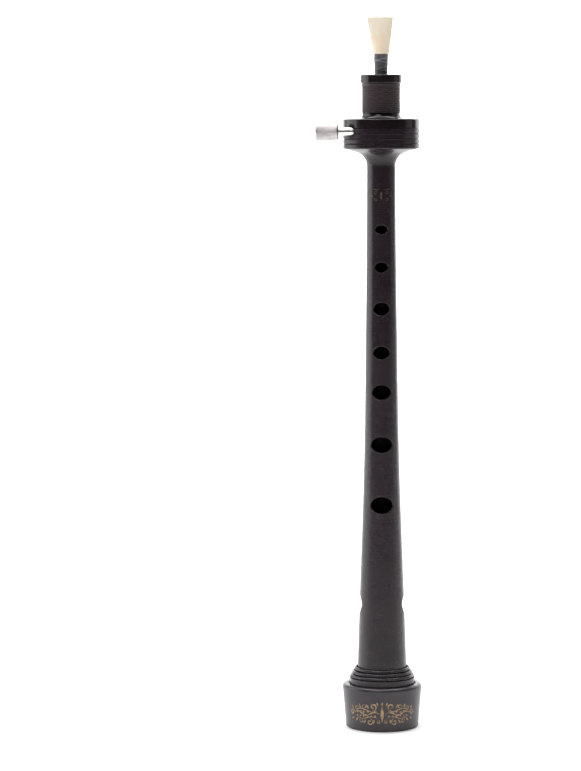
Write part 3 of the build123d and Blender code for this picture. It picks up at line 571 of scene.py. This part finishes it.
# the set screw's hole, cut through the knurl
SCREW_HOLE_RADIUS = 1.26
SCREW_HOLE_FLOOR = 2.2         # mm from the knob's axis
SCREW_HOLE_LENGTH = 5.2
SCREW_HOLE_SEGMENTS = 40
screw_middle = (screw_low + screw_high) / 2
cutter_mesh = bpy.data.meshes.new("cutter")
cutter_work = bmesh.new()
bmesh.ops.create_cone(
    cutter_work,
    cap_ends=True,
    segments=SCREW_HOLE_SEGMENTS,
    radius1=SCREW_HOLE_RADIUS * MM,
    radius2=SCREW_HOLE_RADIUS * MM,
    depth=SCREW_HOLE_LENGTH * MM,
)
cutter_work.to_mesh(cutter_mesh)
cutter_work.free()
cutter = bpy.data.objects.new("cutter", cutter_mesh)
cutter_y = knob_axis.y + SCREW_HOLE_FLOOR + SCREW_HOLE_LENGTH / 2
cutter.location = (screw_middle.x * MM, cutter_y * MM, knob_axis.z * MM)
cutter.rotation_euler = (radians(90), 0, 0)
scene.collection.objects.link(cutter)
cut = knob.modifiers.new("set_screw_hole", "BOOLEAN")
cut.operation = "DIFFERENCE"
cut.solver = "EXACT"
cut.object = cutter
bpy.context.view_layer.update()
evaluated = knob.evaluated_get(bpy.context.evaluated_depsgraph_get())
cut_mesh = bpy.data.meshes.new_from_object(evaluated)
knob.modifiers.clear()
knob.data = cut_mesh
bpy.data.objects.remove(cutter)


# ---------------------------------------------------------------- wound threads on the reed


WINDING_SEGMENTS = 112
ROWS_PER_TURN = 7


def winding(name, profile, bore, pitch, material, slot, strand_height):
    """Closed sleeve round Z whose outside is wound thread.
    profile and bore are lists of (height, radius)."""
    low, high = profile[0][0], profile[-1][0]
    rows = int((high - low) / pitch * ROWS_PER_TURN)

    def radius_at(station, radius, angle, wound):
        if not wound:
            return radius
        phase = station / pitch - angle / (2 * pi)
        across = 2 * (phase - floor(phase)) - 1
        return radius - strand_height * (1 - sqrt(max(0.0, 1 - across * across)))

    rings = []
    for step in range(rows + 1):
        height = low + (high - low) * step / rows
        rings.append((height, between(profile, height), 0 < step < rows))
    for height, radius in reversed(bore):
        rings.append((height, radius, False))
    vertices, faces = surface_of_rings(
        rings, WINDING_SEGMENTS, radius_at, upright, close_ends=False
    )
    last = (len(rings) - 1) * WINDING_SEGMENTS
    for step in range(WINDING_SEGMENTS):
        after = (step + 1) % WINDING_SEGMENTS
        faces.append((last + step, last + after, after, step))
    return mesh_piece(name, vertices, faces, material, "reed", slot)


def strand(points, radius, sides=8):
    """Vertices and faces of a closed round strand along a line of points."""
    vertices, faces = [], []
    count = len(points)
    for index, point in enumerate(points):
        ahead = Vector(points[min(index + 1, count - 1)])
        behind = Vector(points[max(index - 1, 0)])
        along = (ahead - behind).normalized()
        outward = Vector((point[0], point[1], 0)).normalized()
        across = along.cross(outward).normalized()
        outward = across.cross(along)
        for side in range(sides):
            turn = 2 * pi * side / sides
            offset = radius * (cos(turn) * across + sin(turn) * outward)
            vertices.append(tuple(Vector(point) + offset))
    for index in range(count - 1):
        for side in range(sides):
            after = (side + 1) % sides
            faces.append((
                index * sides + side,
                index * sides + after,
                (index + 1) * sides + after,
                (index + 1) * sides + side,
            ))
    faces.append(tuple(range(sides)))
    faces.append(tuple((count - 1) * sides + side for side in reversed(range(sides))))
    return vertices, faces


def joined(*parts):
    """Several (vertices, faces) as one."""
    vertices, faces = [], []
    for part_vertices, part_faces in parts:
        start = len(vertices)
        vertices += part_vertices
        faces += [tuple(index + start for index in face) for face in part_faces]
    return vertices, faces


binding_low, binding_high = (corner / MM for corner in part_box("reed_binding"))
blade_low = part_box("reed_blade_front")[0] / MM
BINDING_PROFILE = [
    (binding_low.z, 2.75),
    (binding_low.z + 0.25, 2.95),
    (blade_low.z, 3.6),
    (binding_high.z - 0.2, 4.18),
    (binding_high.z, 3.9),
]
BINDING_BORE = [
    (binding_low.z, 2.46),
    (blade_low.z - 0.04, 2.46),
    (blade_low.z, 3.1),
    (binding_high.z, 3.65),
]
BINDING_PITCH = 0.56
BINDING_STRAND = 0.14          # mm that a turn stands over its groove
binding = winding(
    "wound_binding",
    BINDING_PROFILE,
    BINDING_BORE,
    BINDING_PITCH,
    BINDING,
    "binding_thread",
    BINDING_STRAND,
)
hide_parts("reed_binding")


CROSSING_STEPS = 150
CROSSING_TURNS = 2.6
CROSSING_LIFT = 0.02           # mm, so that one strand passes over the other
CROSSING_RADIUS = 0.21
crossing_start = binding_low.z + 3.5
crossing_end = binding_high.z - 1.0


def crossing(turns, first_angle, lift):
    """One strand wound steeply over the binding."""
    points = []
    for step in range(CROSSING_STEPS + 1):
        height = crossing_start + (crossing_end - crossing_start) * step / CROSSING_STEPS
        angle = first_angle + 2 * pi * turns * step / CROSSING_STEPS
        points.append(upright(height, between(BINDING_PROFILE, height) + lift, angle))
    return strand(points, CROSSING_RADIUS)


crossings = joined(
    crossing(CROSSING_TURNS, radians(200), -CROSSING_LIFT),
    crossing(-CROSSING_TURNS, radians(250), CROSSING_LIFT),
)
mesh_piece("cross_winding", *crossings, CROSSING_PAINTED_HIGHLIGHT, "reed", "binding_thread")

HEMP_END_RADIUS = 3.1
HEMP_STEPS = 12
HEMP_CURVE = 0.45
SWELL_AT_END = 0.7416          # the square root of 1 - HEMP_CURVE
SWELL_RANGE = 0.2584
HEMP_PITCH = 0.62
HEMP_STRAND = 0.16
hemp_low, hemp_high = (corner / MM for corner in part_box("reed_hemp"))
hemp_outer = (hemp_high.x - hemp_low.x) / 2
hemp_span = hemp_high.z - hemp_low.z
HEMP_PROFILE = []
for step in range(HEMP_STEPS + 1):
    share = step / HEMP_STEPS
    swell = sqrt(max(0.0, 1 - (2 * share - 1) ** 2 * HEMP_CURVE))
    swelling = (hemp_outer - HEMP_END_RADIUS) * (swell - SWELL_AT_END) / SWELL_RANGE
    HEMP_PROFILE.append((hemp_low.z + hemp_span * share, HEMP_END_RADIUS + swelling))
HEMP_BORE = [(hemp_low.z, 2.33), (hemp_high.z, 2.4)]
hemp = winding("wound_hemp", HEMP_PROFILE, HEMP_BORE, HEMP_PITCH, HEMP, "waxed_hemp", HEMP_STRAND)
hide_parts("reed_hemp")


# ---------------------------------------------------------------- gilt ornament on the sole

SOLE_FOOT_HEIGHT = 3           # mm, the ends of the sole's straight cone
SOLE_RIM_HEIGHT = 21
SOLE_FOOT_RADIUS = outside_radius("sole", SOLE_FOOT_HEIGHT)
SOLE_RIM_RADIUS = outside_radius("sole", SOLE_RIM_HEIGHT)
SOLE_SLOPE = SOLE_RIM_HEIGHT - SOLE_FOOT_HEIGHT
ORNAMENT_HEIGHT = 10.6         # mm above the sole's foot, middle of the pattern
INLAY_PROUD = 0.03
INLAY_DEPTH = 0.06
RIBBON_CORNERS = ((1, INLAY_PROUD), (-1, INLAY_PROUD), (-1, -INLAY_DEPTH), (1, -INLAY_DEPTH))


def on_sole(across, up, lift):
    """A point of the flat pattern, laid on the sole's cone.
    across is the arc from the front, in mm."""
    height = ORNAMENT_HEIGHT + up
    widening = SOLE_RIM_RADIUS - SOLE_FOOT_RADIUS
    radius = SOLE_FOOT_RADIUS + widening * (height - SOLE_FOOT_HEIGHT) / SOLE_SLOPE
    angle = across / radius
    return ((radius + lift) * sin(angle), -(radius + lift) * cos(angle), height)


def ribbon(line, widths, place):
    """A thin raised ribbon along a flat line.
    widths gives its half-width at the start, middle and end."""
    count = len(line)
    vertices = []
    for index, (x, y) in enumerate(line):
        ahead = line[min(index + 1, count - 1)]
        behind = line[max(index - 1, 0)]
        dx, dy = ahead[0] - behind[0], ahead[1] - behind[1]
        length = sqrt(dx * dx + dy * dy) or 1.0
        share = index / (count - 1)
        if share < 0.5:
            half = widths[0] + (widths[1] - widths[0]) * sin(pi * share)
        else:
            half = widths[2] + (widths[1] - widths[2]) * sin(pi * share)
        nx, ny = -dy / length * half, dx / length * half
        for side, lift in RIBBON_CORNERS:
            vertices.append(place(x + side * nx, y + side * ny, lift))
    faces = []
    for index in range(count - 1):
        for side in range(4):
            after = (side + 1) % 4
            faces.append((
                index * 4 + side,
                index * 4 + after,
                (index + 1) * 4 + after,
                (index + 1) * 4 + side,
            ))
    faces.append((0, 1, 2, 3))
    last = (count - 1) * 4
    faces.append((last + 3, last + 2, last + 1, last))
    return vertices, faces


def spiral(x, y, start_radius, end_radius, start_angle, sweep_angle, steps=40):
    """Flat scroll that winds inwards."""
    line = []
    for step in range(steps + 1):
        share = step / steps
        radius = start_radius + (end_radius - start_radius) * share ** 0.8
        angle = radians(start_angle + sweep_angle * share)
        line.append((x + radius * cos(angle), y + radius * sin(angle)))
    return line


def wave(x0, y0, x1, y1, swing, cycles=1.0, steps=36):
    """Flat line from one point to another that swings to both sides."""
    line = []
    dx, dy = x1 - x0, y1 - y0
    length = sqrt(dx * dx + dy * dy)
    for step in range(steps + 1):
        share = step / steps
        offset = swing * sin(2 * pi * cycles * share)
        x = x0 + dx * share - dy / length * offset
        y = y0 + dy * share + dx / length * offset
        line.append((x, y))
    return line


LEAF_STEPS = 8


def leaf(x, y, length, angle):
    """Short straight line, which a ribbon's widths make into a leaf."""
    turn = radians(angle)
    return [
        (x + length * step / LEAF_STEPS * cos(turn), y + length * step / LEAF_STEPS * sin(turn))
        for step in range(LEAF_STEPS + 1)
    ]


def mirrored(line):
    return [(-x, y) for x, y in line]


# half-widths of a ribbon, in mm
THIN = (0.1, 0.26, 0.08)
BOLD = (0.14, 0.46, 0.12)
LEAF = (0.05, 0.52, 0.04)
half_pattern = [
    (wave(1.6, 0.2, 17.6, 0.4, 0.9, 1.5), BOLD),
    (wave(3.0, 2.3, 15.5, 2.4, -0.7, 1.0), THIN),
    (wave(3.0, -2.2, 15.0, -2.0, 0.7, 1.0), THIN),
    (spiral(5.2, 4.4, 2.3, 0.5, -80, -420), BOLD),
    (spiral(10.6, 4.3, 1.9, 0.4, -100, 430), THIN),
    (spiral(15.8, 3.0, 1.7, 0.35, 200, -420), THIN),
    (spiral(7.2, -4.6, 2.1, 0.45, 100, 420), BOLD),
    (spiral(12.4, -4.0, 1.7, 0.35, 80, -430), THIN),
    (spiral(19.2, 0.2, 2.0, 0.4, 180, -450), BOLD),
    (spiral(2.3, -4.3, 1.3, 0.3, 60, 400), THIN),
    (leaf(8.0, 3.2, 3.1, 62), LEAF),
    (leaf(13.2, 3.2, 2.8, 70), LEAF),
    (leaf(4.6, -3.0, 2.6, -80), LEAF),
    (leaf(9.8, -3.2, 2.8, -64), LEAF),
    (leaf(15.0, -2.6, 2.6, -50), LEAF),
    (leaf(18.4, 2.6, 2.2, 48), LEAF),
    (leaf(18.0, -2.4, 2.2, -40), LEAF),
    (leaf(2.4, 5.2, 2.0, 70), LEAF),
]
# small leaves along the middle stem, above and below it
for index in range(6):
    leaf_x = 3.6 + 2.3 * index
    fan = index % 3
    half_pattern.append((leaf(leaf_x, 0.9 - 0.2 * (index % 2), 1.5, 40 + 12 * fan), LEAF))
    half_pattern.append((leaf(leaf_x, -0.6, 1.4, -48 - 10 * fan), LEAF))
centre_pattern = [
    ([(0, -4.6), (0, -2.0), (0, 0), (0, 2.0), (0, 5.2)], (0.08, 1.0, 0.06)),
    (leaf(0, 5.4, 1.9, 90), LEAF),
]


def symmetrical(centre, half, place):
    """Ribbons of a pattern whose right half is repeated on the left."""
    lines = list(centre)
    for line, widths in half:
        lines += [(line, widths), (mirrored(line), widths)]
    return joined(*(ribbon(line, widths, place) for line, widths in lines))


ornament_mesh = symmetrical(centre_pattern, half_pattern, on_sole)
mesh_piece("sole_ornament", *ornament_mesh, GILT, "chanter", "black_acetal_sole", smooth=False)


# ---------------------------------------------------------------- small mark on the tube

MARK_HEIGHT = 308.5
MARK_RADIUS = outside_radius("chanter_body", MARK_HEIGHT)


def on_tube(across, up, lift):
    """A point of the flat mark, laid round the tube."""
    angle = across / MARK_RADIUS
    radius = MARK_RADIUS + lift
    return (radius * sin(angle), -radius * cos(angle), MARK_HEIGHT + up)


mark_half = [
    (spiral(3.4, 1.6, 1.3, 0.3, 190, -420), (0.06, 0.17, 0.05)),
    (spiral(3.2, -1.9, 1.2, 0.3, 170, 420), (0.06, 0.17, 0.05)),
    (wave(0.9, -3.9, 5.6, -3.9, 0.25, 1.0, 16), (0.05, 0.16, 0.05)),
    (wave(0.9, 3.7, 5.6, 3.7, -0.25, 1.0, 16), (0.05, 0.16, 0.05)),
    (leaf(5.2, 0, 1.5, 0), (0.04, 0.26, 0.03)),
]
mark_centre = [([(0, -2.4), (0, -1.2), (0, 0), (0, 1.2), (0, 2.4)], (0.05, 0.75, 0.05))]
mark_mesh = symmetrical(mark_centre, mark_half, on_tube)
mesh_piece("tube_mark", *mark_mesh, GILT_FAINT, "chanter", "black_acetal", smooth=False)


# ---------------------------------------------------------------- floor, backdrop and lights

# metres; the floor runs along Y and curves up into the backdrop
FLOOR_NEAR = -2.2
FLOOR_STEPS = 12
SWEEP_START = 2.5
SWEEP_RADIUS = 0.9
SWEEP_STEPS = 16
BACKDROP_TOP = 3.6
HALF_WIDTH = 3.6
floor_length = SWEEP_START - FLOOR_NEAR
profile = [(FLOOR_NEAR + floor_length * step / FLOOR_STEPS, 0.0) for step in range(FLOOR_STEPS + 1)]
for step in range(1, SWEEP_STEPS + 1):
    turn = pi / 2 * step / SWEEP_STEPS
    profile.append((SWEEP_START + SWEEP_RADIUS * sin(turn), SWEEP_RADIUS * (1 - cos(turn))))
profile.append((SWEEP_START + SWEEP_RADIUS, BACKDROP_TOP))
floor_mesh = bpy.data.meshes.new("studio_sweep")
floor_points = [(side * HALF_WIDTH, y, z) for y, z in profile for side in (-1, 1)]
floor_faces = [(2 * i, 2 * i + 1, 2 * i + 3, 2 * i + 2) for i in range(len(profile) - 1)]
floor_mesh.from_pydata(floor_points, [], floor_faces)
for polygon in floor_mesh.polygons:
    polygon.use_smooth = True
sweep = bpy.data.objects.new("studio_sweep", floor_mesh)
scene.collection.objects.link(sweep)
paper = Shader("paper")
cloud = paper.noise(paper.coords, 3.0, 2)
paper_color = paper.blend(cloud, (0.93, 0.93, 0.93), (0.96, 0.96, 0.955))
floor_mesh.materials.append(paper.finish(paper_color, 0.85))


def area_light(name, location, target, size, power, spread=180):
    """A rectangular panel that the camera doesn't see: metres, watts, and degrees of spread."""
    data = bpy.data.lights.new(name, "AREA")
    data.shape = "RECTANGLE"
    data.size, data.size_y = size
    data.energy = power
    data.spread = radians(spread)
    light = bpy.data.objects.new(name, data)
    light.location = location
    aim = Vector(target) - Vector(location)
    light.rotation_euler = aim.to_track_quat("-Z", "Y").to_euler()
    light.visible_camera = False
    scene.collection.objects.link(light)


# name, location, target, width and height, power
area_light("overhead", (0, 0.35, 2.1), (0, 0.3, 0), (2.2, 1.8), 68)
area_light("backdrop_wash", (0, 2.1, 3.0), (0, 3.3, 0.6), (4.0, 1.0), 110, spread=110)
area_light("left_panel", (-1.55, 0.35, 0.55), (0, 0, 0.25), (1.5, 2.0), 21)
area_light("right_panel", (1.2, 1.2, 0.6), (0, 0, 0.25), (0.6, 2.0), 7)
area_light("right_fill", (1.6, 0.1, 0.6), (0, 0, 0.25), (0.8, 1.8), 2.3)
area_light("front_top", (-0.5, -1.3, 1.5), (0, 0, 0.2), (0.9, 0.7), 9)

world = bpy.data.worlds.new("studio")
scene.world = world
world.use_nodes = True
sky = world.node_tree
background = sky.nodes["Background"]
background.inputs["Color"].default_value = (0.95, 0.95, 0.96, 1)
# a pale surround where the camera looks past the sweep, and an almost dark room in reflections
SEEN_STRENGTH = 0.9
UNSEEN_STRENGTH = 0.03
seen = sky.nodes.new("ShaderNodeLightPath").outputs["Is Camera Ray"]
strength = sky.nodes.new("ShaderNodeMapRange")
strength.inputs["To Min"].default_value = UNSEEN_STRENGTH
strength.inputs["To Max"].default_value = SEEN_STRENGTH
sky.links.new(seen, strength.inputs["Value"])
sky.links.new(strength.outputs["Result"], background.inputs["Strength"])
